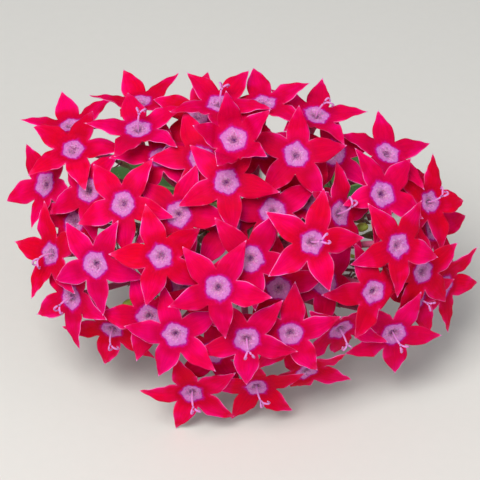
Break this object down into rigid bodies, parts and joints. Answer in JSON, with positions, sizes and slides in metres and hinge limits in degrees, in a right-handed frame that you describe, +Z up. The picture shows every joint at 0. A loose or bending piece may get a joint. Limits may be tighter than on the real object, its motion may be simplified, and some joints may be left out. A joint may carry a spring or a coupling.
{
  "type": "pentas flower head",
  "caption": "Cut pentas flower head lying on a flat surface: a dome of star-shaped florets on forked stalks, with a short stem and a pair of leaves.",
  "frame": {"origin": "centre of the bounding box, at the surface the flower lies on", "axes": "+Z up, the flower's face looks towards -Y and up, the stem runs back towards +Y, +X to the right as the face is seen"},
  "size_m": [0.1004, 0.1014, 0.0709],
  "materials": {
    "petal": "velvety crimson pink, with a lavender throat",
    "stem": "matt, maroon over green, finely hairy",
    "leaf": "satin mid green with sunken veins"
  },
  "bodies": {
    "root": {"floret_01": "petal", "floret_02": "petal", "floret_03": "petal", "floret_04": "petal", "floret_05": "petal", "floret_06": "petal", "floret_07": "petal", "floret_08": "petal", "floret_09": "petal", "floret_10": "petal", "floret_11": "petal", "floret_12": "petal", "floret_13": "petal", "floret_14": "petal", "floret_15": "petal", "floret_16": "petal", "floret_17": "petal", "floret_18": "petal", "floret_19": "petal", "floret_20": "petal", "floret_21": "petal", "floret_22": "petal", "floret_23": "petal", "floret_24": "petal", "floret_25": "petal", "floret_26": "petal", "floret_27": "petal", "floret_28": "petal", "floret_29": "petal", "floret_30": "petal", "floret_31": "petal", "floret_32": "petal", "floret_33": "petal", "floret_34": "petal", "floret_35": "petal", "floret_36": "petal", "floret_37": "petal", "floret_38": "petal", "floret_39": "petal", "floret_40": "petal", "floret_41": "petal", "floret_42": "petal", "floret_43": "petal", "floret_44": "petal", "floret_45": "petal", "floret_46": "petal", "floret_47": "petal", "floret_48": "petal", "floret_49": "petal", "floret_50": "petal", "floret_51": "petal", "floret_52": "petal", "floret_53": "petal", "floret_54": "petal", "floret_55": "petal", "floret_56": "petal", "leaf_left": "leaf", "leaf_right": "leaf", "stem": "stem"}
  },
  "joints": []
}
